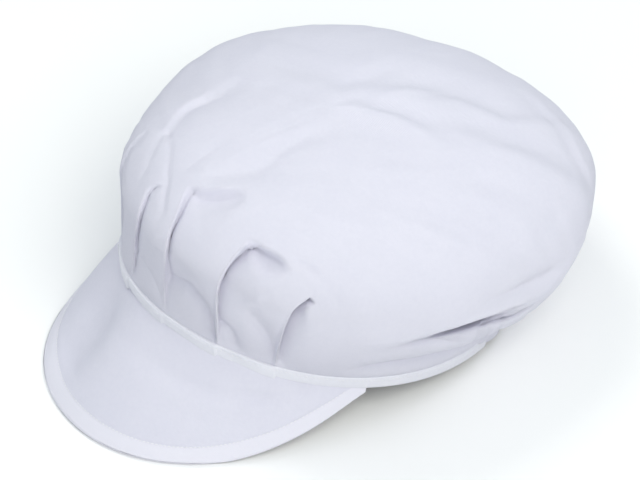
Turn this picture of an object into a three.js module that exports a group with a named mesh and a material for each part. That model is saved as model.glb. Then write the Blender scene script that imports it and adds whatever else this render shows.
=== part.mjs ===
// A soft white work cap that lies on a table: a pleated cloth crown, a narrow
// topstitched hem band, an elasticated casing at the back and a stiffened peak.
// Millimetres, +Z up, the peak points along -Y, and the table is the plane z = 0.
// Turns are degrees about the middle of the head opening: 0 is the front, 90 the
// wearer's left (+X), 180 the back and -90 the wearer's right.
import * as THREE from "three";

// Head opening, measured along the outside of the hem band
const OPENING_HALF_WIDTH = 82;
const OPENING_HALF_LENGTH = 99;
const FRONT_LIFT = 48; // how high the peak props the hem up at the front
const LIFT_FADE = 4.16; // how fast that lift falls away towards the back
const FLAT_BACK = 0.3; // lift below which the hem lies flat on the table

// Hem band and the elastic casing that closes its ring at the back
const BAND_HEIGHT = 6;
const BAND_THICKNESS = 1.8;
const BAND_STEPS = 64;
const CASING_START = 119; // turn where the elastic begins, on both sides
const CASING_STEPS = 72;
const GATHER_COUNT = 12;
const GATHER_DEPTH = 0.5;
const PIECE_GAP = 0.35;

// Crown
const CROWN_WALL = 1.2;
const CROWN_TOP = 114;
const CROWN_TOP_SLOPE = 0.11; // the top leans down towards the back by this share
const CROWN_TOP_SHIFT = 4; // the middle of the top lies this far back
const SHOULDER_SHARE = 0.35; // share of the rise from the hem to the widest line
const CROWN_COLUMNS = 96;
const CROWN_ROWS = 16;

// How far the crown bulges and how high its widest line lies, around the head
const CROWN_SECTIONS = [
  { turn: -180, reach: 129, height: 57 },
  { turn: -150, reach: 122, height: 58 },
  { turn: -120, reach: 110, height: 67 },
  { turn: -90, reach: 97, height: 79 },
  { turn: -60, reach: 88, height: 82 },
  { turn: -30, reach: 92, height: 86 },
  { turn: 0, reach: 96, height: 88 },
  { turn: 30, reach: 97, height: 84 },
  { turn: 60, reach: 98, height: 75 },
  { turn: 90, reach: 104, height: 65 },
  { turn: 120, reach: 115, height: 59 },
  { turn: 150, reach: 128, height: 63 },
];

// Knife pleats at the front. Each one runs up from the hem at its foot, leans
// sideways and ends at its tip, and the cloth on its far side drops behind it.
const PLEATS = [
  { foot: -43, tip: -55, rise: 0.5, depth: 5, width: 20 },
  { foot: -25, tip: -36, rise: 0.58, depth: 5, width: 22 },
  { foot: -8, tip: -6.5, rise: 0.53, depth: 5, width: 15 },
  { foot: 8.5, tip: 4.5, rise: 0.63, depth: 6, width: 20 },
  { foot: 25.3, tip: 32, rise: 0.58, depth: 8, width: 20 },
  { foot: 41.5, tip: 51.5, rise: 0.41, depth: 6, width: 16 },
];
const PLEAT_LIP = 4; // degrees over which the cloth climbs back onto the lip

// Peak: its depth from the hem and how steeply it slopes down, by turn
const PEAK_END = 72.4; // angle of the opening's ellipse where it meets the hem
const PEAK_THICKNESS = 2;
const PEAK_COLUMNS = 36;
const PEAK_ROWS = 6;
const PEAK_DEPTH = 64;
const PEAK_FULLNESS = 2.35;
const PEAK_TAPER = 1.22;
const PEAK_SLOPE = 47;
const PEAK_END_SLOPE = 15;
const PEAK_FORWARD = 0.5;
const PEAK_ARCH = 4; // how far its middle stands above a straight slope
const PEAK_LEAST = 0.05; // share of the depth that is left at the two ends

const radians = THREE.MathUtils.degToRad;
const degrees = THREE.MathUtils.radToDeg;
const clamp = THREE.MathUtils.clamp;
const smooth = (x) => THREE.MathUtils.smoothstep(x, 0, 1);

// A smooth value round the head, from a table with even steps of turn.
function aroundTable(table, column, turn) {
  const step = 360 / table.length;
  const place = (turn - table[0].turn) / step;
  const first = Math.floor(place);
  const part = place - first;
  const [a, b, c, d] = [-1, 0, 1, 2].map((shift) => {
    const row = (((first + shift) % table.length) + table.length) % table.length;
    return table[row][column];
  });
  return (
    b + 0.5 * part * (c - a + part * (2 * a - 5 * b + 4 * c - d + part * (3 * (b - c) + d - a)))
  );
}

function hemRadius(turn) {
  const across = Math.sin(radians(turn)) / OPENING_HALF_WIDTH;
  const along = Math.cos(radians(turn)) / OPENING_HALF_LENGTH;
  return 1 / Math.hypot(across, along);
}

function hemHeight(turn) {
  const a = radians(turn);
  const angle = Math.atan2(
    Math.sin(a) / OPENING_HALF_WIDTH, Math.cos(a) / OPENING_HALF_LENGTH);
  const lift = FRONT_LIFT * Math.abs(Math.cos(angle / 2)) ** LIFT_FADE;
  return Math.max(0, lift - FLAT_BACK);
}

// The point a given distance outside the hem line and above its lower edge.
function nearHem(turn, outward, upward) {
  const radius = hemRadius(turn) + outward;
  const a = radians(turn);
  return new THREE.Vector3(
    radius * Math.sin(a), -radius * Math.cos(a), hemHeight(turn) + upward);
}

// How far the pleats draw the cloth inwards at a place on the crown.
function pleatDip(turn, rise) {
  let dip = 0;
  for (const pleat of PLEATS) {
    const up = rise / pleat.rise;
    if (up >= 1) continue;
    const line = pleat.foot + (pleat.tip - pleat.foot) * up * up;
    const beyond = turn - line;
    const strength = pleat.depth * Math.sin(Math.PI * clamp(0.1 + 0.9 * up, 0, 1)) ** 0.8;
    if (beyond > 0) dip += strength * (1 - smooth(beyond / pleat.width));
    else if (beyond > -PLEAT_LIP) dip += strength * (1 - smooth(-beyond / PLEAT_LIP));
  }
  return dip;
}

// A point on the outside of the crown: rise is 0 at the hem and 1 at the top.
function crownPoint(turn, rise) {
  const a = radians(turn);
  const foot = hemRadius(turn) - BAND_THICKNESS / 4;
  const footHeight = hemHeight(turn) + BAND_HEIGHT + PIECE_GAP;
  const reach = aroundTable(CROWN_SECTIONS, "reach", turn);
  const height = aroundTable(CROWN_SECTIONS, "height", turn);
  let radius, z, back;
  if (rise < SHOULDER_SHARE) {
    const share = rise / SHOULDER_SHARE;
    radius = foot + (reach - foot) * (1 - (1 - share) ** 2);
    z = footHeight + (height - footHeight) * share;
    back = 0;
  } else {
    const swing = ((rise - SHOULDER_SHARE) / (1 - SHOULDER_SHARE)) * (Math.PI / 2);
    radius = reach * Math.cos(swing);
    const top = CROWN_TOP + CROWN_TOP_SLOPE * radius * Math.cos(a);
    z = height + (top - height) * Math.sin(swing);
    back = CROWN_TOP_SHIFT * (1 - Math.cos(swing));
  }
  radius -= pleatDip(turn, rise);
  return new THREE.Vector3(radius * Math.sin(a), back - radius * Math.cos(a), z);
}

// A mesh from lists of points and triangles.
function solidFrom(points, triangles) {
  const geometry = new THREE.BufferGeometry();
  geometry.setAttribute(
    "position", new THREE.Float32BufferAttribute(points.flatMap((p) => p.toArray()), 3));
  geometry.setIndex(triangles.flat());
  geometry.computeVertexNormals();
  return geometry;
}

function cloth(name, colour, roughness, geometry) {
  const material = new THREE.MeshStandardMaterial({ color: colour, roughness, metalness: 0 });
  const mesh = new THREE.Mesh(geometry, material);
  mesh.name = name;
  return mesh;
}

// A thin dome, open below: an outer and an inner skin joined along the hem.
function domeShell(pointAt, columns, rows, wall) {
  const outer = [];
  for (let row = 0; row < rows; row++) {
    for (let column = 0; column < columns; column++) {
      outer.push(pointAt(-180 + (360 * column) / columns, row / rows));
    }
  }
  outer.push(pointAt(0, 1));
  const pole = outer.length - 1;
  const skin = [];
  const index = (row, column) => row * columns + ((column + columns) % columns);
  for (let column = 0; column < columns; column++) {
    for (let row = 0; row < rows - 1; row++) {
      const [a, b] = [index(row, column), index(row, column + 1)];
      const [c, d] = [index(row + 1, column + 1), index(row + 1, column)];
      skin.push([a, b, c], [a, c, d]);
    }
    skin.push([index(rows - 1, column), index(rows - 1, column + 1), pole]);
  }
  const draft = solidFrom(outer, skin);
  const normals = draft.getAttribute("normal");
  const inner = outer.map((point, i) =>
    point.clone().addScaledVector(
      new THREE.Vector3().fromBufferAttribute(normals, i), -wall));
  const count = outer.length;
  const lining = skin.map(([a, b, c]) => [a + count, c + count, b + count]);
  const rim = [];
  for (let column = 0; column < columns; column++) {
    const [a, b] = [index(0, column), index(0, column + 1)];
    rim.push([b, a, a + count], [b, a + count, b + count]);
  }
  inner.forEach((point, i) => {
    if (i < columns) point.z = outer[i].z;
  });
  return solidFrom([...outer, ...inner], [...skin, ...lining, ...rim]);
}

// A bar with a four-cornered section, swept through steps and capped at its ends.
function sweptBar(cornersAt, steps) {
  const points = [];
  for (let step = 0; step <= steps; step++) points.push(...cornersAt(step / steps));
  const triangles = [];
  for (let step = 0; step < steps; step++) {
    for (let corner = 0; corner < 4; corner++) {
      const [a, b] = [4 * step + corner, 4 * step + ((corner + 1) % 4)];
      triangles.push([a, b, b + 4], [a, b + 4, a + 4]);
    }
  }
  const last = 4 * steps;
  triangles.push([0, 2, 1], [0, 3, 2]);
  triangles.push([last, last + 1, last + 2], [last, last + 2, last + 3]);
  return solidFrom(points, triangles);
}

// The four corners of the hem's section at a turn, moved outwards by a gather.
function hemSection(turn, outward) {
  return [
    nearHem(turn, outward, 0),
    nearHem(turn, outward - BAND_THICKNESS, 0),
    nearHem(turn, outward - BAND_THICKNESS, BAND_HEIGHT),
    nearHem(turn, outward, BAND_HEIGHT),
  ];
}

function hemBand() {
  const span = 2 * (CASING_START - 0.2);
  return sweptBar((share) => {
    const turn = -span / 2 + span * share;
    return hemSection(turn, 0);
  }, BAND_STEPS);
}

function elasticCasing() {
  const span = 360 - 2 * (CASING_START + 0.2);
  return sweptBar((share) => {
    const turn = CASING_START + 0.2 + span * share;
    const ends = Math.min(1, 8 * share, 8 * (1 - share));
    const wave = GATHER_DEPTH * ends * Math.sin(2 * Math.PI * GATHER_COUNT * share);
    return hemSection(turn, wave);
  }, CASING_STEPS);
}

// A point on the top of the peak: side runs from -1 to 1, out from 0 to 1.
function peakPoint(side, out) {
  const angle = radians(side * PEAK_END);
  const turn = degrees(
    Math.atan2(OPENING_HALF_WIDTH * Math.sin(angle), OPENING_HALF_LENGTH * Math.cos(angle)));
  const root = nearHem(turn, -BAND_THICKNESS / 2, -PIECE_GAP);
  const away = new THREE.Vector3(
    Math.sin(angle) / OPENING_HALF_WIDTH, -Math.cos(angle) / OPENING_HALF_LENGTH, 0).normalize();
  away.multiplyScalar(1 - PEAK_FORWARD).add(new THREE.Vector3(0, -PEAK_FORWARD, 0)).normalize();
  const full = Math.max(0, 1 - Math.abs(side) ** PEAK_FULLNESS) ** PEAK_TAPER;
  const depth = PEAK_DEPTH * (PEAK_LEAST + (1 - PEAK_LEAST) * full);
  const slope = radians(PEAK_SLOPE + PEAK_END_SLOPE * side * side);
  const point = root.addScaledVector(away, depth * out * Math.cos(slope));
  point.z -= depth * out * Math.sin(slope);
  point.z += PEAK_ARCH * full * 4 * out * (1 - out);
  return point;
}

// A curved plate: a top and a bottom skin joined all round, pressed flat on the floor.
function plate(pointAt, columns, rows, thickness, floor) {
  const top = [];
  for (let row = 0; row <= rows; row++) {
    for (let column = 0; column <= columns; column++) {
      top.push(pointAt((2 * column) / columns - 1, row / rows));
    }
  }
  const index = (row, column) => row * (columns + 1) + column;
  const skin = [];
  for (let row = 0; row < rows; row++) {
    for (let column = 0; column < columns; column++) {
      const [a, b] = [index(row, column), index(row, column + 1)];
      const [c, d] = [index(row + 1, column + 1), index(row + 1, column)];
      skin.push([a, d, c], [a, c, b]);
    }
  }
  const normals = solidFrom(top, skin).getAttribute("normal");
  const bottom = top.map((point, i) =>
    point.clone().addScaledVector(
      new THREE.Vector3().fromBufferAttribute(normals, i), -thickness));
  top.forEach((point, i) => {
    point.z = Math.max(point.z, floor + thickness / 2);
    bottom[i].z = Math.max(bottom[i].z, floor);
  });
  const count = top.length;
  const under = skin.map(([a, b, c]) => [a + count, c + count, b + count]);
  const edge = [];
  const loop = [];
  for (let column = 0; column < columns; column++) loop.push(index(0, column));
  for (let row = 0; row < rows; row++) loop.push(index(row, columns));
  for (let column = columns; column > 0; column--) loop.push(index(rows, column));
  for (let row = rows; row > 0; row--) loop.push(index(row, 0));
  loop.forEach((a, i) => {
    const b = loop[(i + 1) % loop.length];
    edge.push([a, b, b + count], [a, b + count, a + count]);
  });
  return solidFrom([...top, ...bottom], [...skin, ...under, ...edge]);
}

const hat = new THREE.Group();
hat.add(
  cloth("crown", 0xe9e9f3, 0.9, domeShell(crownPoint, CROWN_COLUMNS, CROWN_ROWS, CROWN_WALL)),
  cloth("hem_band", 0xebebf4, 0.9, hemBand()),
  cloth("elastic_casing", 0xe6e6f0, 0.9, elasticCasing()),
  cloth("peak", 0xe4e6f1, 0.88, plate(peakPoint, PEAK_COLUMNS, PEAK_ROWS, PEAK_THICKNESS, 0)),
);

// The origin is on the table, under the middle of the hat's box.
const box = new THREE.Box3().setFromObject(hat, true);
hat.position.set(-(box.min.x + box.max.x) / 2, -(box.min.y + box.max.y) / 2, -box.min.z);

export default hat;
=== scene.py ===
import math

import bmesh
import bpy
import numpy as np
from bpy.props import FloatProperty, FloatVectorProperty, IntProperty, PointerProperty
from mathutils import Matrix, Vector, noise


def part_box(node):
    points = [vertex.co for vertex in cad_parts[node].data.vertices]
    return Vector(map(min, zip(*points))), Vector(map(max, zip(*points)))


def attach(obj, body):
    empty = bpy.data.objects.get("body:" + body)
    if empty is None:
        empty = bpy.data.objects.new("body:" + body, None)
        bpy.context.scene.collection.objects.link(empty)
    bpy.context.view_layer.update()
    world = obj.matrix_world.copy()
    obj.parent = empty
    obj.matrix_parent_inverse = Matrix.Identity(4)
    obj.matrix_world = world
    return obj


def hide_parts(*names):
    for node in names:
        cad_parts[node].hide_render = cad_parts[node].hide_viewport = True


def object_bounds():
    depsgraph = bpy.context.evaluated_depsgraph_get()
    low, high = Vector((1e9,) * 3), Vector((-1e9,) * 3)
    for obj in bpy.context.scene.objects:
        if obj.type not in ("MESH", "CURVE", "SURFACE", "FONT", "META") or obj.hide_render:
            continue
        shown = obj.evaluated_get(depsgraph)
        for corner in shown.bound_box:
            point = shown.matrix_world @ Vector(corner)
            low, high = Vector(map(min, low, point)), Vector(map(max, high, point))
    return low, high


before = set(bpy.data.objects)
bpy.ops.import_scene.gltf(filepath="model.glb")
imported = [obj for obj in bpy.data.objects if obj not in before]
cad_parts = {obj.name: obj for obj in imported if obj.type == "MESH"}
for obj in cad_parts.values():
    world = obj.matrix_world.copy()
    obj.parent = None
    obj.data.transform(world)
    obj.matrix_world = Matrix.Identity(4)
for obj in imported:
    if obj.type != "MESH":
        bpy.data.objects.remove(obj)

bl_info = {
    "name": "Pleated Work Cap",
    "version": (1, 0, 0),
    "blender": (4, 5, 0),
    "location": "View3D > Sidebar > Cap",
    "description": "Builds the cloth of a white food worker's cap with a pleated crown and a peak",
    "category": "Add Mesh",
}

CAD_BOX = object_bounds()
MM = 0.001

# A turn is an angle round the opening in degrees: 0 at the front, 90 at the wearer's left, 180 at
# the back. A rise runs over the crown from 0 at the hem to 1 at the top

# The opening's ellipse, read from the hem band of the frame
HEM_LOW, HEM_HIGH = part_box("hem_band")
HALF_WIDTH = (HEM_HIGH.x - HEM_LOW.x) / 2
HALF_LENGTH = 99 * MM
CENTRE = Vector(((HEM_HIGH.x + HEM_LOW.x) / 2, HEM_LOW.y + HALF_LENGTH, 0))
BAND_HEIGHT = 6 * MM
LIFT_FADE = 4.16  # how fast the hem comes down from the front towards the back
FLAT_BACK = 0.3 * MM  # how far below the table its line would run at the back
FRONT_LIFT = HEM_HIGH.z - BAND_HEIGHT + FLAT_BACK
CASING_START = 119  # turn at which the band ends and the elastic casing begins

# Crown sections round the head: turn in degrees, reach and height in millimetres
SECTION_STEP = 30
SECTION_START = -180
SECTIONS = {
    "reach": (129, 122, 110, 97, 88, 92, 96, 97, 98, 104, 115, 128),
    "height": (57, 58, 67, 79, 82, 86, 88, 84, 75, 65, 59, 63),
}
TOP_SLOPE = 0.11  # how much the top rises towards the front, for each unit of length
TOP_SHIFT = 4 * MM  # how far the top lies behind the opening's middle
SHOULDER_SHARE = 0.35  # rise of the widest line

# Knife pleats: rows of the fold's edge from the hem to its tip, then of the ridge that runs on.
# Turn in degrees, rise, then in millimetres the drop of the cloth beyond, the fold's roundness and
# how far that cloth runs back under the edge. A form is the width of the deepest part, its share
# of the drop, how far the cloth takes to come back, and how far the edge stands up. With a "steep"
# of 2 the deepest part has a flat bottom, otherwise it is pointed
PLEATS = [
    {"form": (3, 0.5, 18, 0.2), "edge": (
        (-43, 0, 0.3, 1, 0), (-45, 0.2, 1.2, 1.2, 0.4), (-50, 0.4, 1.6, 1.5, 0.4),
        (-55, 0.5, 1.4, 2, 0)), "ridge": (
        (-50, 0.5, 1, 3, 0), (-44, 0.47, 0, 3, 0))},
    {"form": (3, 0.5, 18, 0.2), "edge": (
        (-25, 0, 0.3, 0.8, 0.4), (-26, 0.2, 1.6, 0.8, 1.4), (-29, 0.4, 1.8, 1.2, 1),
        (-35, 0.55, 1.4, 2, 0)), "ridge": (
        (-31, 0.57, 0.8, 3, 0), (-26, 0.55, 0, 3, 0))},
    {"form": (2.4, 0.6, 13, 0.5), "steep": 2, "edge": (
        (-8, 0, 0.4, 0.5, 0.6), (-6.2, 0.1, 1.4, 0.5, 1.6), (-6, 0.2, 2.4, 0.6, 2.4),
        (-5, 0.3, 2.8, 0.6, 2.6), (-4.3, 0.39, 3, 0.7, 2.6), (-5.5, 0.47, 2.8, 0.8, 2.2),
        (-7.5, 0.52, 2.2, 0.8, 1.6)), "ridge": (
        (-6, 0.56, 1.6, 0.8, 1.2), (-4, 0.578, 0, 1, 0))},
    {"form": (2.3, 0.65, 24, 0.7), "steep": 2, "edge": (
        (8.5, 0, 0.4, 0.5, 0.6), (8.5, 0.11, 1.3, 0.5, 1.6), (8.7, 0.2, 2, 0.5, 2.2),
        (9.2, 0.3, 2.6, 0.6, 2.6), (9.5, 0.4, 4, 0.6, 3.4), (8.7, 0.47, 5, 0.7, 3.4),
        (7, 0.55, 5.4, 1, 2.6), (3.5, 0.62, 5.2, 1.5, 1.2)), "ridge": (
        (7.5, 0.646, 4.8, 1.5, 1.2), (14, 0.686, 3.4, 1.5, 1.4), (20.5, 0.712, 1.8, 2.4, 0.8),
        (25, 0.69, 1.2, 3.5, 0), (27, 0.65, 0, 4, 0))},
    {"form": (3.3, 0.55, 30, 0.9), "steep": 2, "edge": (
        (25.3, 0, 0.4, 0.5, 0.6), (26, 0.114, 1.8, 0.5, 1.6), (26.5, 0.236, 3.6, 0.6, 2.6),
        (27, 0.325, 6, 0.7, 3.4), (28, 0.44, 8.5, 0.7, 3.8), (30, 0.53, 9.5, 0.9, 3.2),
        (32, 0.582, 9, 1.5, 2)), "ridge": (
        (37.5, 0.577, 9.5, 1.5, 2), (42, 0.569, 7, 1.8, 1.6), (45.5, 0.546, 4, 2.4, 0.8),
        (47, 0.52, 1.6, 3.5, 0), (47.2, 0.495, 0, 4, 0))},
    {"form": (4, 0.85, 15, 0.8), "steep": 2, "edge": (
        (41.5, 0, 1, 0.5, 0.6), (43, 0.12, 5, 0.5, 1.8), (44.5, 0.225, 9, 0.5, 2.4),
        (46, 0.307, 12, 0.5, 2.6), (48, 0.39, 15, 0.5, 2.2), (51.3, 0.446, 15, 0.6, 1)), "ridge": (
        (52.3, 0.444, 14, 0.6, 0), (52.9, 0.436, 9, 0.8, 0), (53.2, 0.427, 2, 1, 0),
        (53.2, 0.42, 0, 1.2, 0))},
]

# Softer folds, one row a place: turn, rise, drop of the right side and roundness. The other values
# are those of the pleats, and "sink" says how far the deepest part also moves straight down, as a
# share of its drop. Turns go on below -180 where a fold crosses the back
FOLDS = {
    "lobe beside the large pleat": {"form": (6, 0.5, 14, 0.4), "line": (
        (45, 0.58, 0, 2), (48, 0.578, 2, 2.4), (51.5, 0.575, 2.4, 2.4), (54.5, 0.558, 1.8, 2.4),
        (56, 0.53, 0, 3))},
    "below the large pleat's ridge": {"form": (10, 1, 14, 0), "steep": 2, "line": (
        (31.5, 0.56, 0, 4), (34, 0.574, 3.4, 4), (39, 0.569, 4, 4), (43.5, 0.552, 2, 4.5),
        (46.5, 0.52, 0, 4))},
    "below the second pleat's ridge": {"form": (9, 1, 16, 0), "line": (
        (4, 0.61, 0, 3), (6.5, 0.64, 4, 2.4), (12, 0.676, 6.5, 2.2), (18, 0.705, 5, 2.4),
        (25, 0.7, 0, 3.5))},
    "fold at the far shoulder": {"form": (6, 0.8, 18, 0.3), "line": (
        (-27, 0.6, 0, 3), (-32, 0.632, 2, 2.6), (-37, 0.647, 3.5, 2), (-42.5, 0.663, 4.5, 1.8),
        (-50, 0.712, 4.5, 1.8), (-57, 0.729, 3.5, 2), (-64, 0.736, 1.8, 2.6), (-70, 0.736, 0, 3))},
    "overhang of the near side": {"form": (8.5, 0.75, 45, 1), "steep": 2, "sink": 1.5, "line": (
        (60, 0.24, 0, 4), (70, 0.27, 2, 3), (80, 0.297, 5, 2), (87, 0.322, 10, 1), (93, 0.332, 14, 0.7),
        (99, 0.334, 16, 0.7), (105.5, 0.321, 12, 0.8), (110, 0.3, 6, 1.2), (116, 0.27, 2, 2),
        (124, 0.25, 0, 3))},
    "fold below the overhang": {"form": (4, 0.8, 12, 0.8), "steep": 2, "sink": 1.2, "line": (
        (99, 0.27, 0, 1), (102, 0.28, 5, 0.8), (106, 0.28, 9, 0.8), (110, 0.26, 8, 0.8),
        (115, 0.25, 4, 1), (119, 0.24, 0, 1.2))},
    "ridge over the back of the top": {"form": (9, 0, 44, 1), "line": (
        (132, 0.4, 0, 8), (138.5, 0.479, 2.5, 10), (138.5, 0.586, 4.5, 12), (138.5, 0.707, 5, 12),
        (139, 0.771, 4, 11), (135.5, 0.829, 2, 9), (133, 0.86, 0, 8))},
    "ridge at the middle of the top": {"form": (6, 0, 26, 1), "line": (
        (126.5, 0.8, 0, 5), (134, 0.854, 2, 6), (141, 0.907, 3, 6), (145, 0.943, 3, 6),
        (149, 0.979, 2, 6), (180, 0.99, 0, 6))},
    "edge of the far top": {"form": (7, 0, 36, 0.6), "line": (
        (-200, 0.56, 0, 6), (-201, 0.6, 1.5, 6), (-204, 0.664, 3, 7), (-205, 0.711, 3.5, 8),
        (-201, 0.746, 4, 8), (-197, 0.779, 4, 8), (-191.5, 0.825, 4, 9), (-185.5, 0.871, 4, 10),
        (-181, 0.918, 4, 11), (-160, 0.952, 3.5, 11), (-125, 0.945, 3, 11), (-93.5, 0.907, 2, 10),
        (-85.5, 0.857, 1, 9), (-79.5, 0.807, 0, 8))},
    "fold near the back's outline": {"form": (3, 0.5, 12, 0.6), "line": (
        (176, 0.62, 0, 2), (171, 0.589, 1, 1.6), (161, 0.554, 1.4, 1.6), (151, 0.5, 1.4, 1.6),
        (147, 0.421, 1, 2), (145, 0.36, 0, 2))},
}

# Valleys in the cloth, one row a place: turn, rise and depth; with the widths of the right and left
# flank. One with "after" lies between that pleat, counted from 0, and the next, and stops at both
CREASES = {
    "under the second panel": {"after": 3, "flanks": (5.5, 6), "line": (
        (9.4, 0.2, 3), (12, 0.218, 5), (15, 0.226, 6), (17.5, 0.211, 6.5), (20, 0.189, 6.5),
        (22, 0.155, 6), (23.3, 0.104, 5), (24.6, 0.04, 3))},
    "under the first panel": {"after": 2, "flanks": (1.5, 3), "line": (
        (-5.4, 0.17, 0.4), (-4, 0.172, 0.9), (-1, 0.175, 1.2), (2, 0.165, 1.2), (4.5, 0.13, 1),
        (6.5, 0.09, 0.6))},
    "beside the foot of the large pleat": {"after": 4, "flanks": (2.5, 2.5), "line": (
        (26.3, 0.13, 1.6), (28, 0.128, 3.5), (29.5, 0.104, 4), (30.2, 0.06, 3.5), (30.4, 0.02, 2))},
    "hollow beside the last pleat": {"after": 4, "flanks": (4.5, 8), "line": (
        (33, 0.3, 0), (35.5, 0.271, 2.5), (38, 0.225, 4), (40, 0.168, 4.5), (41, 0.114, 4),
        (41.4, 0.05, 2))},
    "tongue's near side": {"flanks": (1, 1.6), "line": (
        (3.5, 0.44, 0), (3, 0.514, 1.6), (-0.5, 0.557, 2.2), (-4.5, 0.593, 2.2), (-12, 0.625, 2),
        (-20, 0.643, 1.8), (-28, 0.64, 1.2))},
    "tongue's far side": {"flanks": (1, 1), "line": (
        (-28, 0.64, 1.2), (-28.5, 0.62, 1.6), (-24, 0.6, 1.8), (-18.5, 0.568, 1.6), (-15, 0.539, 1.2),
        (-11, 0.475, 0))},
    "low on the near side": {"flanks": (2.5, 6), "line": (
        (70, 0.22, 0), (78, 0.243, 1.5), (82, 0.25, 2.5), (86.5, 0.225, 3), (92, 0.185, 2.5),
        (97, 0.17, 0))},
    "drawn in above the hem": {"flanks": (3, 10), "line": (
        (58, 0.055, 0), (75, 0.06, 7), (88, 0.06, 10), (98, 0.055, 9), (108, 0.05, 6), (117, 0.05, 6),
        (124, 0.05, 3), (132, 0.05, 0))},
    "soft hollow above the overhang": {"flanks": (7, 10), "line": (
        (92, 0.37, 0), (100, 0.396, 3), (106.5, 0.386, 5), (113, 0.36, 6.5), (120, 0.33, 6),
        (128, 0.3, 0))},
    "first gather over the knot": {"flanks": (1.5, 2), "line": (
        (104, 0.02, 1.5), (102, 0.12, 2.5), (99, 0.22, 2.5), (97, 0.29, 0))},
    "second gather over the knot": {"flanks": (1.5, 2), "line": (
        (109, 0.02, 1.5), (106, 0.12, 2.5), (103, 0.2, 2.5), (102, 0.27, 0))},
    "third gather over the knot": {"flanks": (1.5, 2), "line": (
        (114, 0.02, 1.5), (111, 0.1, 2.5), (108, 0.18, 2.5), (107, 0.24, 0))},
    "above the second pleat": {"flanks": (6, 9), "line": (
        (3, 0.67, 0), (6, 0.693, 2), (9, 0.718, 3), (13, 0.746, 3.4), (18, 0.775, 3.4), (20, 0.811, 3.2),
        (21, 0.839, 3), (23.5, 0.871, 2.6), (28.5, 0.896, 2), (45, 0.918, 1.4), (66, 0.925, 0))},
    "second pleat to the top": {"flanks": (5, 6), "line": (
        (-3, 0.64, 0), (-4.5, 0.668, 1.4), (-6.5, 0.718, 1.6), (-8.5, 0.754, 1), (-12, 0.8, 0))},
    "short crease at the back": {"flanks": (2.5, 4), "line": (
        (178, 0.89, 0), (172, 0.86, 0.7), (169.5, 0.829, 0.8), (171, 0.81, 0.6), (174, 0.795, 0))},
    "dent low at the back": {"flanks": (4, 4), "line": (
        (119, 0.52, 0), (121, 0.518, 0.9), (126, 0.511, 1), (130, 0.507, 0.7), (132, 0.5, 0))},
    "crease at the far edge": {"flanks": (3, 5), "line": (
        (-104, 0.66, 0), (-106, 0.675, 0.8), (-112, 0.73, 0.9), (-117.5, 0.768, 0.7), (-122, 0.8, 0))},
    "crease right of the last pleat": {"flanks": (4, 4), "line": (
        (54, 0.52, 0), (56.5, 0.529, 0.5), (60, 0.532, 0.5), (63, 0.53, 0))},
}

# Columns of the crown's net between its guide lines: turn of the guide, columns after it
GUIDES_BEFORE = ((-180, 62), (-CASING_START, 20), (-75, 14))
GUIDES_AFTER = ((75, 34), (CASING_START, 62))
PLEAT_COLUMNS = 16
COLUMN_PULL = 0.5  # how much closer the columns lie beside a pleat's edge
CROWN_ROWS = 70
HEM_PULL = 0.25  # how much closer the rows lie near the hem
TOP_NORMAL = 0.995  # highest rise at which the crown's normal is measured

# Where the crown's net is made twice as fine, in degrees of turn and in rise
FINE_TURNS = (-48, 112)
FINE_RISE = 0.72


def smooth(x):
    """A step from 0 to 1 with flat ends."""
    x = np.clip(x, 0, 1)
    return x * x * (3 - 2 * x)


def around(column, turn):
    """A smooth value round the head, from one column of the section table."""
    values = np.array(SECTIONS[column], float) * MM
    place = (turn - SECTION_START) / SECTION_STEP
    first = np.floor(place).astype(int)
    part = place - first
    a, b, c, d = (values[(first + shift) % len(values)] for shift in (-1, 0, 1, 2))
    return b + 0.5 * part * (c - a + part * (2 * a - 5 * b + 4 * c - d + part * (3 * (b - c) + d - a)))


def hem_radius(turn):
    """Distance from the middle of the opening to the hem line."""
    a = np.radians(turn)
    return 1 / np.hypot(np.sin(a) / HALF_WIDTH, np.cos(a) / HALF_LENGTH)


def hem_height(turn):
    """Height of the hem's lower edge above the table."""
    a = np.radians(turn)
    angle = np.arctan2(np.sin(a) / HALF_WIDTH, np.cos(a) / HALF_LENGTH)
    return np.maximum(0, FRONT_LIFT * np.abs(np.cos(angle / 2)) ** LIFT_FADE - FLAT_BACK)


def polar(turn, radius, height, back=0):
    """Points from turns, distances from the opening's middle and heights."""
    a = np.radians(turn)
    x = radius * np.sin(a) + CENTRE.x
    y = back - radius * np.cos(a) + CENTRE.y
    return np.stack(np.broadcast_arrays(x, y, height), -1)


def crown_base(turn, rise, sizes):
    """The plain crown without folds; rise is 0 at the hem and 1 at the top."""
    foot = hem_radius(turn) - sizes.hem_tuck
    foot_height = hem_height(turn) + BAND_HEIGHT - sizes.hem_overlap
    reach = around("reach", turn)
    height = around("height", turn)
    low = np.clip(rise / SHOULDER_SHARE, 0, 1)
    high = np.clip((rise - SHOULDER_SHARE) / (1 - SHOULDER_SHARE), 0, 1) * math.pi / 2
    bulge = foot + (reach - foot) * (1 - (1 - low) ** 2)
    radius = np.where(rise < SHOULDER_SHARE, bulge, reach * np.cos(high))
    top = sizes.crown_top + TOP_SLOPE * radius * np.cos(np.radians(turn))
    z = np.where(
        rise < SHOULDER_SHARE,
        foot_height + (height - foot_height) * low,
        height + (top - height) * np.sin(high),
    )
    back = np.where(rise < SHOULDER_SHARE, 0, TOP_SHIFT * (1 - np.cos(high)))
    return polar(turn, radius, z, back)


FOLD_SAMPLES = 10  # places on a fold's line between two rows of its table
TINY = 1e-12  # keeps a vector without length from being divided by 0
SEAM = 1e-6  # distance at which a net's meeting points are joined

# Steps over which the surfaces' slopes are measured: turn and rise, side and out
CROWN_STEPS = (0.2, 0.002)
PEAK_STEPS = (0.004, 0.004)


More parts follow.
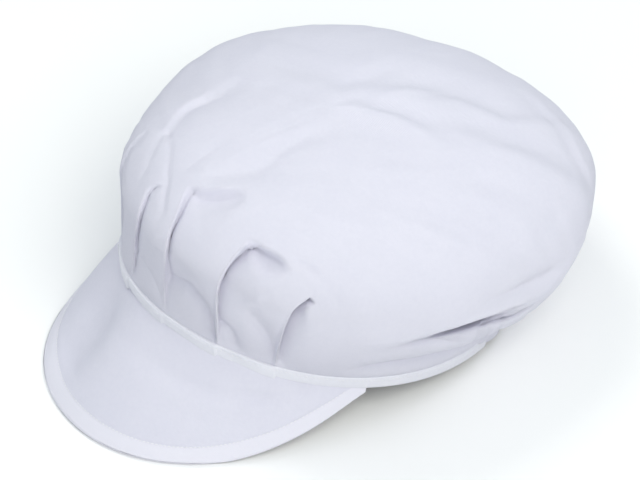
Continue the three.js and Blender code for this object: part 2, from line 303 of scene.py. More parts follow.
def fold_line(rows):
    """A smooth line through a fold's rows: an array with the rows' columns."""
    rows = np.array(rows, float)
    slopes = np.gradient(rows, axis=0)
    places = np.linspace(0, len(rows) - 1, FOLD_SAMPLES * (len(rows) - 1) + 1)
    first = np.minimum(places.astype(int), len(rows) - 2)
    t = (places - first)[:, None]
    start, end = rows[first], rows[first + 1]
    line = (1 + 2 * t) * (1 - t) ** 2 * start + t * (1 - t) ** 2 * slopes[first]
    line += t * t * (3 - 2 * t) * end + t * t * (t - 1) * slopes[first + 1]
    line[:, 2:] = start[:, 2:] + (end - start)[:, 2:] * smooth(t)
    return line


def pleat_turn(pleat, rise):
    """The turn of a pleat's fold edge at a rise."""
    edge = fold_line(pleat["edge"])
    return np.interp(rise, edge[:, 1], edge[:, 0])


def net_turns(rise):
    """Turns of the crown's columns at one rise, with a column on every fold edge."""
    guides = list(GUIDES_BEFORE)
    guides += [(float(pleat_turn(pleat, rise)), PLEAT_COLUMNS) for pleat in PLEATS]
    guides += list(GUIDES_AFTER)
    turns = []
    for (turn, count), (after, _) in zip(guides, guides[1:] + [(180, 0)]):
        share = np.arange(count) / count
        if count == PLEAT_COLUMNS:
            share = share - COLUMN_PULL * np.sin(2 * math.pi * share) / (2 * math.pi)
        turns += list(turn + (after - turn) * share)
    return np.array(turns + [180.0])


def unit(vectors):
    """The same directions with a length of 1."""
    return vectors / (np.linalg.norm(vectors, axis=-1, keepdims=True) + TINY)


def normals(surface, first, second, steps, sizes):
    """Directions at right angles to a surface, from its slopes over small steps of its two values."""
    a, b = steps
    along = surface(first + a, second, sizes) - surface(first - a, second, sizes)
    across = surface(first, second + b, sizes) - surface(first, second - b, sizes)
    return unit(np.cross(along, across))


LINE_BLEND = 3.5 * MM  # distance over which a bent line's values run into each other
END_FADE = 6 * MM  # distance over which a fold fades before an end without depth
FOLD_REACH = 1.5  # how far a fold can act, in its widths
LIP_REACH = 0.4  # how far a fold's lip slopes away on the left, in the fold's widths
TUCK_REACH = 2.2  # how far the cloth under an edge is pulled along, in depths of the tuck
LEAST_TUCK_REACH = 0.1 * MM
CREASE_REACH = 4  # how far a crease can act, in widths of its flank
CREASE_ROUNDNESS = 0.7 * MM
CREASE_EASE = 1  # degrees over which a crease between two pleats starts and ends
HEM_FADE = 0.035  # rise over which the folds start from the hem


def beside(line, reach, point, normal, sizes):
    """Which points lie near a line on the crown, how far to its right, the way there and its values."""
    track = crown_base(line[:, 0], line[:, 1], sizes)
    near = np.all((point > track.min(0) - reach) & (point < track.max(0) + reach), axis=-1)
    here, facing = point[near], normal[near]
    distances = np.zeros((len(track) - 1, len(here)))
    parts = np.zeros_like(distances)
    offsets = np.zeros((len(track) - 1, len(here), 3))
    aside = np.zeros(len(here))
    for index in range(len(track) - 1):
        start, step = track[index], track[index + 1] - track[index]
        parts[index] = np.clip(((here - start) @ step) / (step @ step), 0, 1)
        offsets[index] = here - start - parts[index][:, None] * step
        distances[index] = np.linalg.norm(offsets[index], axis=-1)
        right = np.einsum("ij,ij->i", np.cross(step, facing), offsets[index])
        nearest = distances[index] <= distances[: index + 1].min(0)
        aside = np.where(nearest, np.sign(right) * distances[index], aside)
    weights = np.exp(-(distances - distances.min(0)) / LINE_BLEND)
    weights /= weights.sum(0)
    values = weights.T @ line[:-1, 2:]
    values += (weights * parts).T @ np.diff(line[:, 2:], axis=0)
    for end, inner in ((0, 1), (-1, -2)):
        if line[end, 2] == 0:
            offset = here - track[end]
            ahead = offset @ (track[end] - track[inner]) / np.linalg.norm(track[end] - track[inner])
            nearness = np.exp(-(np.linalg.norm(offset, axis=-1) - distances.min(0)) / LINE_BLEND)
            values[:, 0] *= 1 - nearness * smooth(1 + ahead / END_FADE)
    return near, aside, unit(np.einsum("ij,ijk->jk", weights, offsets)), values


def fold_moves(turn, rise, point, normal, sizes):
    """How far folds and creases move the crown's points outwards, and how they pull them aside."""
    out = np.zeros_like(turn)
    pull = np.zeros_like(point)
    for fold in [*PLEATS, *FOLDS.values()]:
        line = fold_line(fold["line"] if "line" in fold else fold["edge"] + fold["ridge"])
        deep, share, wide, lip = fold["form"] * np.array([MM, 1, MM, 1])
        near, aside, away, values = beside(line, FOLD_REACH * wide, point, normal, sizes)
        drop, soft = values[:, :2].T * MM
        distance = np.abs(aside)
        fall = np.where(aside > 0, 1 - np.exp(-((distance / soft) ** 2)), 0)
        groove = share * np.exp(-((distance / deep) ** fold.get("steep", 1)))
        depth = groove + (1 - share) * (1 - smooth(distance / wide))
        lip = lip * drop / max(line[:, 2])
        reach = np.where(aside > 0, soft, LIP_REACH * wide)
        out[near] += lip * np.exp(-((distance / reach) ** 2)) - drop * fall * depth
        pull[near, 2] -= fold.get("sink", 0) * drop * fall * groove
        if line.shape[1] > 4:
            tuck = values[:, 2] * MM
            tuck = tuck * fall * np.exp(-((distance / (TUCK_REACH * tuck + LEAST_TUCK_REACH)) ** 2))
            pull[near] -= tuck[:, None] * away
    for crease in CREASES.values():
        line = fold_line(crease["line"])
        right, left = crease["flanks"]
        reach = CREASE_REACH * max(right, left) * MM
        near, aside, _, values = beside(line, reach, point, normal, sizes)
        flank = np.where(aside > 0, right, left) * MM
        depth = values[:, 0] * MM * np.exp(-np.hypot(aside, CREASE_ROUNDNESS) / flank)
        if "after" in crease:
            first, second = PLEATS[crease["after"]:crease["after"] + 2]
            depth = depth * smooth((turn[near] - pleat_turn(first, rise[near])) / CREASE_EASE)
            depth = depth * smooth((pleat_turn(second, rise[near]) - turn[near]) / CREASE_EASE)
        out[near] -= depth
    return out * smooth(rise / HEM_FADE), pull


# Gathers of the crown over the elastic, on both sides of the back
GATHER_START = 108  # turn at which they begin
GATHER_FULL = 121  # turn at which they have their whole height
GATHER_HEIGHT = 1.9 * MM
GATHER_RISE = 0.34  # rise at which the longest have faded away
GATHER_CREST = 0.8  # below 1 their crests are blunter than a wave's
GATHER_FADE = 1.3  # how fast they grow flatter away from the hem


def gather_wave(turn, sizes):
    """The gathers' wave at a turn, uneven in spacing, from -1 to 1, and its strength."""
    behind = np.abs(turn)
    strength = smooth((behind - GATHER_START) / (GATHER_FULL - GATHER_START))
    from_back = np.sign(turn) * (180 - behind) / (180 - CASING_START)
    uneven = from_back + 0.035 * np.sin(9 * from_back) + 0.02 * np.sin(23 * from_back + 1)
    return np.cos(math.pi * sizes.gathers / 2 * uneven), strength


def gather_moves(turn, rise, sizes):
    """How far the gathers over the elastic move the crown's points outwards."""
    wave, strength = gather_wave(turn, sizes)
    crest = np.sign(wave) * np.abs(wave) ** GATHER_CREST
    length = GATHER_RISE * (0.75 + 0.25 * np.sin(0.7 * turn))
    return GATHER_HEIGHT * strength * crest * (1 - smooth(rise / length)) ** GATHER_FADE


# Long soft wrinkles that fan out from the pleats, and smaller ones all over
FAN_POINT = Vector((0, -80, 0)) * MM
FAN_WAVES = 8  # for each radian
FAN_LENGTH = 70 * MM
FAN_HEIGHT = 0.9 * MM
FAN_START = 25 * MM  # from the point to where the wrinkles begin
FAN_EASE = 60 * MM  # from there to where they have their whole height
FAN_RISE = 0.3
RUMPLE_SIZE = 22 * MM
RUMPLE_HEIGHT = 0.3 * MM
RUMPLE_RISE = 0.1


def wrinkle_moves(point, rise):
    """Small heights of the wrinkles that cover the crown."""
    across = point[:, 0] - CENTRE.x - FAN_POINT.x
    back = point[:, 1] - CENTRE.y - FAN_POINT.y
    angle = np.arctan2(across, back) * FAN_WAVES
    distance = np.hypot(across, back) / FAN_LENGTH
    fade = smooth((distance * FAN_LENGTH - FAN_START) / FAN_EASE) * smooth(rise / FAN_RISE)
    fan = [
        noise.noise(Vector((a, d, 0))) + 0.5 * noise.noise(Vector((2.3 * a, 1.7 * d, 9)))
        for a, d in zip(angle.tolist(), distance.tolist())
    ]
    rumple = [noise.fractal(Vector(p), 0.8, 2.1, 3) for p in (point / RUMPLE_SIZE).tolist()]
    rumple = RUMPLE_HEIGHT * np.array(rumple) * smooth(rise / RUMPLE_RISE)
    return FAN_HEIGHT * np.array(fan) * fade + rumple


# The peak: its spread along the hem, its slope in degrees and its outline
PEAK_END = 72.4  # angle of the opening's ellipse where the peak ends
PEAK_SEAM = 0.8 * MM  # how far inside the hem band the peak starts
PEAK_FULLNESS = 2.35  # how round its outline is at the middle
PEAK_TAPER = 1.22  # how its outline runs out at the ends
PEAK_SLOPE = 47
PEAK_END_SLOPE = 15  # how much steeper it is at its ends
PEAK_FORWARD = 0.5  # how much it points forwards instead of straight away from the hem
PEAK_ARCH = 4 * MM
PEAK_LEAST = 0.05  # its depth at the ends, as a share of that at the middle
EDGE_STITCHING = 7 * MM  # from the peak's edge to its line of stitches
GROOVE_DEPTH = 0.25 * MM  # of the line of stitches
GROOVE_WIDTH = 0.8 * MM
RELIEF_FADE = 3  # how soon the rim and the groove run out towards the peak's ends
DENT_EASE = 14 * MM  # distance from the edge over which the dents fade
RIM_LIFT = 1.2 * MM  # how far the turned edge beyond the stitches stands up from the peak's slope


def peak_depth(side, sizes):
    """How deep the peak is from the hem; side runs from -1 to 1 along it."""
    full = np.maximum(0, 1 - np.abs(side) ** PEAK_FULLNESS) ** PEAK_TAPER
    return sizes.peak_depth * (PEAK_LEAST + (1 - PEAK_LEAST) * full), full


def peak_point(side, out, sizes):
    """Points on the top of the peak; out runs from 0 at the hem to 1 at its edge."""
    angle = np.radians(side * PEAK_END)
    across, along = np.sin(angle), np.cos(angle)
    turn = np.degrees(np.arctan2(HALF_WIDTH * across, HALF_LENGTH * along))
    root = polar(turn, hem_radius(turn) - PEAK_SEAM, hem_height(turn) + PEAK_SEAM)
    away = unit(np.stack([across / HALF_WIDTH, -along / HALF_LENGTH, 0 * across], -1))
    away = unit((1 - PEAK_FORWARD) * away + PEAK_FORWARD * np.array([0, -1, 0]))
    depth, full = peak_depth(side, sizes)
    slope = np.radians(PEAK_SLOPE + PEAK_END_SLOPE * side * side)
    point = root + away * (depth * out * np.cos(slope))[..., None]
    point[..., 2] += PEAK_ARCH * full * 4 * out * (1 - out) - depth * out * np.sin(slope)
    return point


# Soft dents in the peak: their middle's side and out, how far they reach along the peak and down
# it, as shares of the whole, and their depth in millimetres
PEAK_DENTS = (
    (-0.2, 0.5, 0.14, 0.4, 8.5),
    (0.2, 0.33, 0.15, 0.1, 0.9),
    (0.42, 0.36, 0.15, 0.09, 1.1),
    (0.63, 0.35, 0.09, 0.09, 1.6),
    (0.75, 0.18, 0.05, 0.12, 1.3),
)


def peak_relief(side, out, sizes):
    """Height of the stitched groove, of the rim beyond it and of the dents on the peak's top."""
    depth, full = peak_depth(side, sizes)
    from_edge = depth * (1 - out)
    groove = np.exp(-(((from_edge - EDGE_STITCHING) / GROOVE_WIDTH) ** 2))
    rim = np.clip(1 - from_edge / EDGE_STITCHING, 0, 1)
    relief = (RIM_LIFT * rim - GROOVE_DEPTH * groove) * smooth(full * RELIEF_FADE)
    for dent_side, dent_out, along, down, deep in PEAK_DENTS:
        dented = np.exp(-(((side - dent_side) / along) ** 2) - ((out - dent_out) / down) ** 2)
        relief -= deep * MM * dented * smooth(from_edge / DENT_EASE)
    return relief


class Socket:
    """A shader value that Python's own operators can work on."""

    def __init__(self, shader, socket):
        self.shader, self.socket = shader, socket

    def maths(self, operation, other):
        return self.shader.node("ShaderNodeMath", {"operation": operation}, self, other)

    def __add__(self, other):
        return self.maths("ADD", other)

    def __mul__(self, other):
        return self.maths("MULTIPLY", other)

    __radd__ = __add__
    __rmul__ = __mul__


class Shader:
    """One material, with a method that adds any node and links its sockets."""

    def __init__(self, name):
        self.material = bpy.data.materials.new(name)
        self.material.use_nodes = True
        self.tree = self.material.node_tree
        self.surface = self.tree.nodes["Principled BSDF"]

    def node(self, kind, settings, *values, output=0, numbered=None, **named):
        made = self.tree.nodes.new(kind)
        for name, value in settings.items():
            setattr(made, name, value)
        for key, value in {**(numbered or dict(enumerate(values))), **named}.items():
            self.join(made.inputs[key], value)
        return Socket(self, made.outputs[output])

    def join(self, target, value):
        if isinstance(value, Socket):
            self.tree.links.new(value.socket, target)
        else:
            target.default_value = value

    def mix_colours(self, share, first, second):
        inputs = {0: share, 6: first, 7: second}
        return self.node("ShaderNodeMix", {"data_type": "RGBA"}, output=2, numbered=inputs)

    def finish(self, colour, roughness, bump=None, depth=0, sheen=None):
        values = {"Base Color": colour, "Roughness": roughness, **(sheen or {})}
        if bump:
            values["Normal"] = self.node("ShaderNodeBump", {}, 1.0, depth, Height=bump)
        for name, value in values.items():
            self.join(self.surface.inputs[name], value)
        return self.material


def linear(colour, shares=(1, 1, 1)):
    """A colour picked on screen as the shader's linear values, or shares of them."""
    values = (c / 12.92 if c <= 0.04045 else ((c + 0.055) / 1.055) ** 2.4 for c in colour)
    return (*(value * share for value, share in zip(values, shares)), 1)


GRAIN_SCALES = (520, 150, 45)  # of the slubs, creases and mottling, for each metre
SHEEN = {"Specular IOR Level": 0.25, "Sheen Weight": 0.15, "Sheen Roughness": 0.5}
THREAD_PITCH = 0.45 * MM
WAVE_PERIOD = 0.314  # of the wave texture's bands at a scale of 1
CLOTH_RELIEF = 0.4 * MM
CLOTH_SHADE = (0.9, 0.905, 0.93)  # the mottling's darker tone, as shares of the lighter one
THREAD_SHADE = (0.85,) * 3
THREAD_RELIEF = 0.0001
RIM_BLEND = (EDGE_STITCHING - 0.5 * MM, EDGE_STITCHING + 0.5 * MM)


def cotton(name, colour, rim=None):
    """White cotton: crossed threads, slubs, mottling, creases and a rim of doubled cloth."""
    shader = Shader(name)
    place = shader.node("ShaderNodeTexCoord", {}, output="Object")
    weave = shader.node("ShaderNodeUVMap", {"uv_map": "weave"})
    pitch = {"Scale": WAVE_PERIOD / THREAD_PITCH, "Distortion": 1.2, "Detail": 1.0}
    warp, weft = (
        shader.node("ShaderNodeTexWave", {"bands_direction": way}, weave, **pitch) for way in "XY")
    threads = warp.maths("MAXIMUM", weft)
    slubs, creases, mottle = (
        shader.node("ShaderNodeTexNoise", {}, place, Scale=scale, Detail=3.0) for scale in GRAIN_SCALES)
    light, shade = linear(colour), linear(colour, CLOTH_SHADE)
    if rim:
        inwards = shader.node("ShaderNodeSeparateXYZ", {}, weave, output=1)
        doubled = shader.node("ShaderNodeMapRange", {}, inwards, *RIM_BLEND, 1.0, 0.0)
        light = shader.mix_colours(doubled, light, linear(rim))
        shade = shader.mix_colours(doubled, shade, linear(rim))
    tone = shader.mix_colours(0.5 * mottle + 0.5 * slubs, light, shade)
    roughness = 0.82 + 0.12 * mottle
    height = threads * 0.3 + slubs * 0.3 + creases * 0.4
    return shader.finish(tone, roughness, height, CLOTH_RELIEF, SHEEN)


def sewing_thread(name, colour):
    """Twisted white thread."""
    shader = Shader(name)
    place = shader.node("ShaderNodeTexCoord", {}, output="Object")
    fibre = shader.node("ShaderNodeTexNoise", {}, place, Scale=2500.0, Detail=1.0)
    tone = shader.mix_colours(fibre, linear(colour), linear(colour, THREAD_SHADE))
    return shader.finish(tone, 0.6 + 0.2 * fibre, fibre, THREAD_RELIEF, SHEEN)


def size_property(name, description, default):
    """A length that a user may change."""
    return FloatProperty(name=name, description=description, default=default, unit="LENGTH")


def colour_property(name, description, default):
    """A colour that a user may change, as seen on screen."""
    return FloatVectorProperty(
        name=name, description=description, default=default, subtype="COLOR", size=3, min=0, max=1)


class CapSizes(bpy.types.PropertyGroup):
    """Sizes of the cloth."""

    crown_top: size_property(
        "Crown top", "Height of the middle of the crown above the table", CAD_BOX[1].z - 2 * MM)
    cloth_wall: size_property("Cloth wall", "Thickness of the crown's cloth", 1.1 * MM)
    hem_tuck: size_property("Hem tuck", "How far the crown starts inside the hem", 1.0 * MM)
    hem_overlap: size_property("Hem overlap", "How far the hem covers the crown", 0.8 * MM)
    band_thickness: size_property("Band thickness", "Thickness of the folded hem", 1.6 * MM)
    peak_depth: size_property("Peak depth", "Depth of the peak at its middle", 64 * MM)
    peak_thickness: size_property("Peak thickness", "Thickness of the stiffened peak", 2 * MM)
    gathers: IntProperty(
        name="Gathers", description="Number of gathers over the elastic", default=34, min=1)


class CapColours(bpy.types.PropertyGroup):
    """Colours of the cloth, the thread and the floor."""

    cotton: colour_property("Cotton", "Colour of the cotton", (0.888, 0.882, 0.928))
    # The peak's cotton is darker than the crown's cotton: painted shade for the light that reaches the
    # peak less
    peak: colour_property("Peak", "Colour of the peak's cotton", (0.87, 0.865, 0.912))
    rim: colour_property("Rim", "Colour of the peak's doubled rim", (0.884, 0.878, 0.92))
    hem: colour_property("Hem", "Colour of the hem's cotton", (0.91, 0.908, 0.938))
    thread: colour_property("Thread", "Colour of the sewing thread", (0.93, 0.928, 0.95))
    floor: colour_property("Floor", "Colour of the floor", (0.97, 0.97, 0.97))


def woven(name, columns, rows, place, material, fine=None):
    """A piece from a net of columns by rows, each point moved by place(column, row)."""
    work = bmesh.new()
    bmesh.ops.create_grid(work, x_segments=columns, y_segments=rows, size=1)
    for vertex in work.verts:
        vertex.co = ((vertex.co.x + 1) / 2 * columns, (vertex.co.y + 1) / 2 * rows, 0)
    if fine:
        edges = [edge for edge in work.edges if all(fine(v.co.x, v.co.y) for v in edge.verts)]
        bmesh.ops.subdivide_edges(work, edges=edges, cuts=1, use_grid_fill=True)
    spots = np.array([vertex.co[:2] for vertex in work.verts])
    points, flat = place(spots[:, 0], spots[:, 1])
    layer = work.loops.layers.uv.new("weave")
    work.verts.index_update()
    for vertex, point in zip(work.verts, points.tolist()):
        vertex.co = point
    for face in work.faces:
        for loop in face.loops:
            loop[layer].uv = flat[loop.vert.index]
    return finished(name, work, material)


def placed(name, data):
    """A new object in the scene."""
    made = bpy.data.objects.new(name, data)
    bpy.context.scene.collection.objects.link(made)
    return made


def finished(name, work, material):
    """Closes a net's seams, smooths its shading and makes it an object."""
    mesh = bpy.data.meshes.new(name)
    bmesh.ops.remove_doubles(work, verts=work.verts, dist=SEAM)
    bmesh.ops.recalc_face_normals(work, faces=work.faces)
    for face in work.faces:
        face.smooth = True
    work.to_mesh(mesh)
    work.free()
    mesh.materials.append(material)
    return placed(name, mesh)


# Flat cut of the crown's cloth, for its weave
CLOTH_RADIUS = 190 * MM  # of the crown's weave, from its middle to the hem


class CAP_OT_crown(bpy.types.Operator):
    """Make the pleated crown"""

    bl_idname = "cap.crown"
    bl_label = "Crown"

    def execute(self, context):
        sizes = context.scene.cap_sizes
        material = cotton("crown_cotton", context.scene.cap_colours.cotton)
        rises = [self.rise_at(row) for row in np.arange(0, CROWN_ROWS + 0.5, 0.5)]
        spread = np.stack([net_turns(rise) for rise in rises])
        columns = spread.shape[1] - 1

        def fine(column, row):
            turn = spread[0, round(column)]
            return FINE_TURNS[0] <= turn <= FINE_TURNS[1] and self.rise_at(row) <= FINE_RISE

        def place(column, row):
            rise = self.rise_at(row)
            level = np.round(2 * row).astype(int)
            first = np.minimum(column.astype(int), columns - 1)
            part = column - first
            turn = (1 - part) * spread[level, first] + part * spread[level, first + 1]
            normal = normals(crown_base, turn, np.minimum(rise, TOP_NORMAL), CROWN_STEPS, sizes)
            point = crown_base(turn, rise, sizes)
            normal[rise > 0.999] = (0, 0, 1)
            out, pull = fold_moves(turn, rise, point, normal, sizes)
            out += gather_moves(turn, rise, sizes) + wrinkle_moves(point, rise)
            arc = np.radians(turn)
            flat = (CLOTH_RADIUS * (1 - rise))[:, None] * np.stack([np.sin(arc), np.cos(arc)], -1)
            return point + out[:, None] * normal + pull, flat

        piece = woven("crown_cloth", columns, CROWN_ROWS, place, material, fine)
        wall = piece.modifiers.new("wall", "SOLIDIFY")
        wall.thickness = sizes.cloth_wall
        wall.offset = -1
        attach(piece, "root")
        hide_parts("crown")
        return {"FINISHED"}

    @staticmethod
    def rise_at(row):
        """Rows lie closer together near the hem."""
        share = row / CROWN_ROWS
        return share * (1 - HEM_PULL + HEM_PULL * share)


END_LENGTH = 1.5 * MM  # over which the ends of the hem's strips are rounded


def near_hem(turn, outward, upward):
    """Points beside the hem line, outwards from it and above its lower edge."""
    return polar(turn, hem_radius(turn) + outward, hem_height(turn) + upward)


def strip_section(share, part, sizes, strip):
    """How far out and up a point of a strip's section lies; part runs round it, share along the strip."""
    inside = np.clip(np.minimum(share, 1 - share) * strip.LENGTH / END_LENGTH, 0, 1)
    half = np.sqrt(1 - (1 - inside) ** 2) / 2
    c, s = np.cos(2 * math.pi * part), np.sin(2 * math.pi * part)
    out = sizes.band_thickness * half * np.sign(c) * np.abs(c) ** strip.CORNERS
    return out, strip.HEIGHT * half * np.sign(s) * np.abs(s) ** strip.CORNERS


# Steps of the hem where the pleats run into it, in degrees and millimetres
STEP_RAMP = 13
STEP_OUT = 0.7 * MM
STEP_DOWN = 1.1 * MM
BAND_LIP = 0.3 * MM  # how far the band hangs over the peak's seam
FOLD_IN_BAND = (25.3, 4.6)  # where a folded corner shows in the band, and how far it leans


def band_steps(turn):
    """How far the hem has stepped out at a turn, from 0 to 1, rising slowly up to each pleat's foot."""
    feet = [pleat["edge"][0][0] for pleat in PLEATS]
    return sum(smooth(1 + (turn - foot) / STEP_RAMP) * (turn < foot) for foot in feet)


class CAP_OT_hem_band(bpy.types.Operator):
    """Make the folded hem band"""

    bl_idname = "cap.hem_band"
    bl_label = "Hem band"

    COLUMNS = 700
    ROWS = 28
    LENGTH = 400 * MM
    HEIGHT = BAND_HEIGHT
    CORNERS = 0.4  # 1 for a round section, 0 for square corners
    FOLD_DEPTH = 0.3 * MM
    FOLD_EASE = 0.5  # degrees

    def execute(self, context):
        sizes = context.scene.cap_sizes
        material = cotton("hem_cotton", context.scene.cap_colours.hem)

        def place(column, row):
            share = column / self.COLUMNS
            turn = CASING_START * (2 * share - 1)
            out, up = strip_section(share, row / self.ROWS, sizes, self)
            layered = band_steps(turn)
            start, lean = FOLD_IN_BAND
            height = 0.5 + up / BAND_HEIGHT
            beyond = turn - start - lean * (1 - height)
            corner = smooth(beyond / self.FOLD_EASE) * (1 - smooth(beyond / STEP_RAMP)) * (turn > start)
            outer = out > 0
            out = out - sizes.band_thickness / 2 + outer * (STEP_OUT * layered - self.FOLD_DEPTH * corner)
            up = BAND_HEIGHT / 2 + up - (BAND_LIP + STEP_DOWN * layered) * smooth(0.5 - up / BAND_HEIGHT)
            flat = np.stack([np.radians(turn) * HALF_LENGTH, out + up], -1)
            return near_hem(turn, out, up), flat

        piece = woven("hem_band_cloth", self.COLUMNS, self.ROWS, place, material)
        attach(piece, "root")
        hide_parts("hem_band")
        return {"FINISHED"}


class CAP_OT_elastic_casing(bpy.types.Operator):
    """Make the casing that the elastic gathers"""

    bl_idname = "cap.elastic_casing"
    bl_label = "Elastic casing"

    COLUMNS = 420
    ROWS = 24
    LENGTH = 200 * MM
    HEIGHT = 8 * MM
    CORNERS = 0.6
    OVERLAP = 0.4  # degrees that it runs under the hem band's ends
    PINCH = 0.12  # how much the gathers change its height
    UNEVEN = 0.2 * MM  # how far its top edge wanders
    SLACK = 1.6  # length of the cloth for each length of elastic

    def execute(self, context):
        sizes = context.scene.cap_sizes
        material = cotton("casing_cotton", context.scene.cap_colours.cotton)

        def place(column, row):
            start = CASING_START - self.OVERLAP
            share = column / self.COLUMNS
            turn = start + (360 - 2 * start) * share
            near_turn = np.where(turn > 180, turn - 360, turn)
            wave, strength = gather_wave(near_turn, sizes)
            out, up = strip_section(share, row / self.ROWS, sizes, self)
            wobble = np.sin(1.7 * turn) + 0.6 * np.sin(4.1 * turn + 2)
            ripple = 0.5 * GATHER_HEIGHT * strength * wave
            pinch = 1 + self.PINCH * strength * wave
            up = self.HEIGHT / 2 + up * pinch + self.UNEVEN * strength * (1 + wobble) * (up > 0)
            out = out - sizes.band_thickness / 2 + ripple * (0.6 + 0.4 * up / self.HEIGHT)
            flat = np.stack([np.radians(turn) * HALF_LENGTH * self.SLACK, out + up], -1)
            return near_hem(turn, out, np.maximum(up, 0)), flat

        piece = woven("elastic_casing_cloth", self.COLUMNS, self.ROWS, place, material)
        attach(piece, "root")
        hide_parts("elastic_casing")
        return {"FINISHED"}


class CAP_OT_peak(bpy.types.Operator):
    """Make the stiffened peak"""

    bl_idname = "cap.peak"
    bl_label = "Peak"

    COLUMNS = 300
    TOP_ROWS = 56
    EDGE_ROWS = 8
    UNDER_ROWS = 30
    END_PULL = 0.6  # how much closer the columns lie at its ends
    EDGE_PULL = 1.3  # how much closer the rows lie at its edge
    THINNING = 6  # how soon it has its whole thickness from its ends
    EDGE_STEP = 0.01  # over which the edge's direction is measured
    UNDER_RELIEF = 0.7  # share of the top's relief that its underside has
    HALF_SPAN = 110 * MM

    def execute(self, context):
        sizes = context.scene.cap_sizes
        # The peak's cloth gets its darker colour, which is painted shade
        material = cotton("peak_cotton", context.scene.cap_colours.peak, context.scene.cap_colours.rim)
        rows = self.TOP_ROWS + self.EDGE_ROWS + self.UNDER_ROWS + 1

        def place(column, row):
            share = 2 * column / self.COLUMNS - 1
            side = np.sin(share * math.pi / 2) * self.END_PULL + share * (1 - self.END_PULL)
            down = np.clip(row / self.TOP_ROWS, 0, 1)
            back = np.clip((row - self.TOP_ROWS - self.EDGE_ROWS) / self.UNDER_ROWS, 0, 1)
            out = np.where(row <= self.TOP_ROWS, 1 - (1 - down) ** self.EDGE_PULL, 1 - back)
            out = np.where(row >= rows - 1, 0, out)
            bend = np.clip((row - self.TOP_ROWS) / self.EDGE_ROWS, 0, 1) * math.pi
            thick = sizes.peak_thickness * np.minimum(1, self.THINNING * np.sqrt(1 - np.abs(side)))
            top = (row <= self.TOP_ROWS) | (row >= rows)
            normal = -normals(peak_point, side, out, PEAK_STEPS, sizes)
            below = np.where(top, 0, (1 - np.cos(bend)) / 2 * thick)
            beyond = np.where(top, 0, np.sin(bend) * thick / 2)
            step = self.EDGE_STEP
            edge = unit(peak_point(side, out + step, sizes) - peak_point(side, out - step, sizes))
            relief = peak_relief(side, out, sizes) * np.where(top, 1, self.UNDER_RELIEF)
            point = peak_point(side, out, sizes)
            point += (relief - below)[:, None] * normal + beyond[:, None] * edge
            point[:, 2] = np.maximum(point[:, 2], sizes.peak_thickness - below)
            from_edge = (1 - out) * peak_depth(side, sizes)[0] + below
            return point, np.stack([side * self.HALF_SPAN, from_edge], -1)

        piece = woven("peak_cloth", self.COLUMNS, rows, place, material)
        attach(piece, "root")
        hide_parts("peak")
        return {"FINISHED"}


class CAP_OT_stitches(bpy.types.Operator):
    """Make the peak's and the hem's lines of stitches"""

    bl_idname = "cap.stitches"
    bl_label = "Stitches"

    LENGTH = 1.5 * MM
    GAP = 0.45 * MM
    THREAD = 0.45 * MM
    PEAK_SPAN = 0.93  # how far along the peak its stitches run
    PEAK_LIFT = 0.15 * MM
    HEM_LIFT = 0.02 * MM
    HEM_LINE = 1.6 * MM  # from the top of the hem band

    def execute(self, context):
        sizes = context.scene.cap_sizes
        side = np.linspace(-self.PEAK_SPAN, self.PEAK_SPAN, 1200)
        out = 1 - EDGE_STITCHING / peak_depth(side, sizes)[0]
        normal = -normals(peak_point, side, out, PEAK_STEPS, sizes)
        point = peak_point(side, out, sizes)
        point += (peak_relief(side, out, sizes) + self.PEAK_LIFT)[:, None] * normal
        keep = point[:, 2] > sizes.peak_thickness
        self.make(context, "peak_stitches", point[keep], normal[keep])
        turn = np.linspace(-CASING_START + 1, CASING_START - 1, 2400)
        lean = np.radians(turn)
        normal = np.stack([np.sin(lean), -np.cos(lean), 0 * lean], -1)
        out = self.HEM_LIFT + STEP_OUT * band_steps(turn)
        point = near_hem(turn, out, BAND_HEIGHT - self.HEM_LINE)
        self.make(context, "hem_stitches", point, normal)
        return {"FINISHED"}

    def make(self, context, name, track, normal):
        """One mesh of small rounded stitches, laid end to end along a track."""
        work = bmesh.new()
        length = np.concatenate([[0], np.cumsum(np.linalg.norm(np.diff(track, axis=0), axis=1))])
        pitch = self.LENGTH + self.GAP
        count = int(length[-1] / pitch)
        for middle in (np.arange(count) + 0.5) * pitch:
            ends = [np.array([np.interp(middle + half * self.LENGTH / 2, length, track[:, axis])
                              for axis in range(3)]) for half in (-1, 1)]
            up = Vector([np.interp(middle, length, normal[:, axis]) for axis in range(3)]).normalized()
            ahead = Vector(ends[1] - ends[0]).normalized()
            across = up.cross(ahead).normalized()
            turned = Matrix((ahead, across, ahead.cross(across))).transposed().to_4x4()
            scale = Matrix.Diagonal((self.LENGTH / 2, self.THREAD / 2, self.THREAD / 2, 1))
            place = Matrix.Translation(Vector((ends[0] + ends[1]) / 2)) @ turned @ scale
            bmesh.ops.create_uvsphere(work, u_segments=6, v_segments=5, radius=1, matrix=place)
        thread = sewing_thread("sewing_thread", context.scene.cap_colours.thread)
        piece = finished(name, work, thread)
        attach(piece, "root")


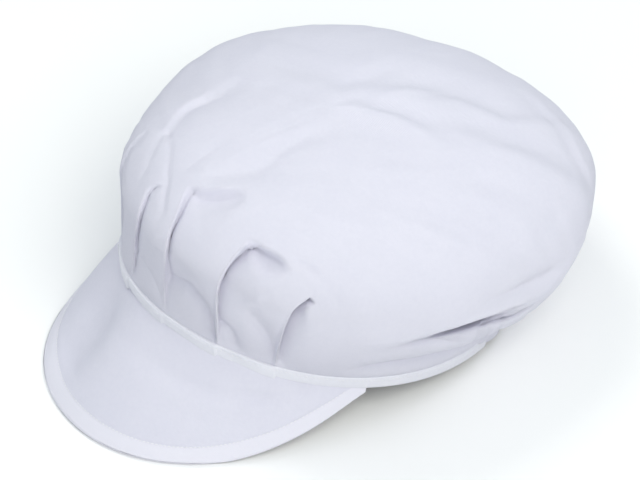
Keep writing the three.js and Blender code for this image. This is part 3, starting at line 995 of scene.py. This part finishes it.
class CAP_OT_stage(bpy.types.Operator):
    """Make the floor, the lights and the camera"""

    bl_idname = "cap.stage"
    bl_label = "Stage"

    AZIMUTH = 55.2
    ELEVATION = 42.5
    DISTANCE = 1.3
    LENS = 156.5
    TARGET_HEIGHT = 40 * MM
    AIM_RIGHT = -1.17 * MM
    AIM_UP = -3.5 * MM
    LIGHTS = (  # name, place, size and power
        ("right_light", (1.05, 0.05, 1.4), 1.1, 14),
        ("left_light", (-0.95, -0.1, 1.5), 0.8, 8.5),
        ("front_light", (1.0, -0.75, 0.75), 0.8, 4),
    )
    LAMP_COLOUR = (1, 0.985, 0.9)
    SKY_COLOUR = (0.83, 0.915, 1, 1)
    SKY_STRENGTH = 0.6

    def execute(self, context):
        scene = context.scene
        turn, lift = math.radians(self.AZIMUTH), math.radians(self.ELEVATION)
        back = Vector((math.sin(turn) * math.cos(lift), -math.cos(turn) * math.cos(lift), math.sin(lift)))
        right = Vector((math.cos(turn), math.sin(turn), 0))
        up = back.cross(right)
        aim = CENTRE + Vector((0, 0, self.TARGET_HEIGHT)) + self.AIM_RIGHT * right + self.AIM_UP * up
        camera = placed("camera", bpy.data.cameras.new("camera"))
        camera.data.lens = self.LENS
        camera.matrix_world = Matrix.Translation(aim + back * self.DISTANCE) @ Matrix(
            (right, up, back)).transposed().to_4x4()
        scene.camera = camera

        work = bmesh.new()
        bmesh.ops.create_grid(work, x_segments=1, y_segments=1, size=3)
        mesh = bpy.data.meshes.new("floor")
        work.to_mesh(mesh)
        work.free()
        floor = placed("floor", mesh)
        mesh.materials.append(Shader("floor_paper").finish(linear(scene.cap_colours.floor), 0.9))

        for name, place, size, power in self.LIGHTS:
            light = bpy.data.lights.new(name, "AREA")
            light.energy = power
            light.size = size
            light.color = self.LAMP_COLOUR
            lamp = placed(name, light)
            lamp.location = place
            lamp.rotation_euler = (aim - Vector(place)).to_track_quat("-Z", "Y").to_euler()
        world = bpy.data.worlds.new("studio")
        world.use_nodes = True
        sky = world.node_tree.nodes["Background"]
        sky.inputs["Color"].default_value = self.SKY_COLOUR
        sky.inputs["Strength"].default_value = self.SKY_STRENGTH
        scene.world = world
        scene.view_settings.view_transform = "Standard"
        return {"FINISHED"}


class CAP_PT_panel(bpy.types.Panel):
    """Lists the cap's pieces"""

    bl_idname = "CAP_PT_panel"
    bl_label = "Work cap"
    bl_space_type = "VIEW_3D"
    bl_region_type = "UI"
    bl_category = "Cap"

    def draw(self, context):
        for name in CapSizes.__annotations__:
            self.layout.prop(context.scene.cap_sizes, name)
        for name in CapColours.__annotations__:
            self.layout.prop(context.scene.cap_colours, name)
        for operator in OPERATORS:
            self.layout.operator(operator.bl_idname)


OPERATORS = (
    CAP_OT_crown, CAP_OT_hem_band, CAP_OT_elastic_casing, CAP_OT_peak, CAP_OT_stitches, CAP_OT_stage)
CLASSES = (CapSizes, CapColours, *OPERATORS, CAP_PT_panel)


def register():
    for cls in CLASSES:
        bpy.utils.register_class(cls)
    bpy.types.Scene.cap_sizes = PointerProperty(type=CapSizes)
    bpy.types.Scene.cap_colours = PointerProperty(type=CapColours)


def unregister():
    del bpy.types.Scene.cap_sizes
    del bpy.types.Scene.cap_colours
    for cls in reversed(CLASSES):
        bpy.utils.unregister_class(cls)


def main():
    register()
    for operator in OPERATORS:
        group, name = operator.bl_idname.split(".")
        getattr(getattr(bpy.ops, group), name)()


if __name__ == "__main__":
    main()
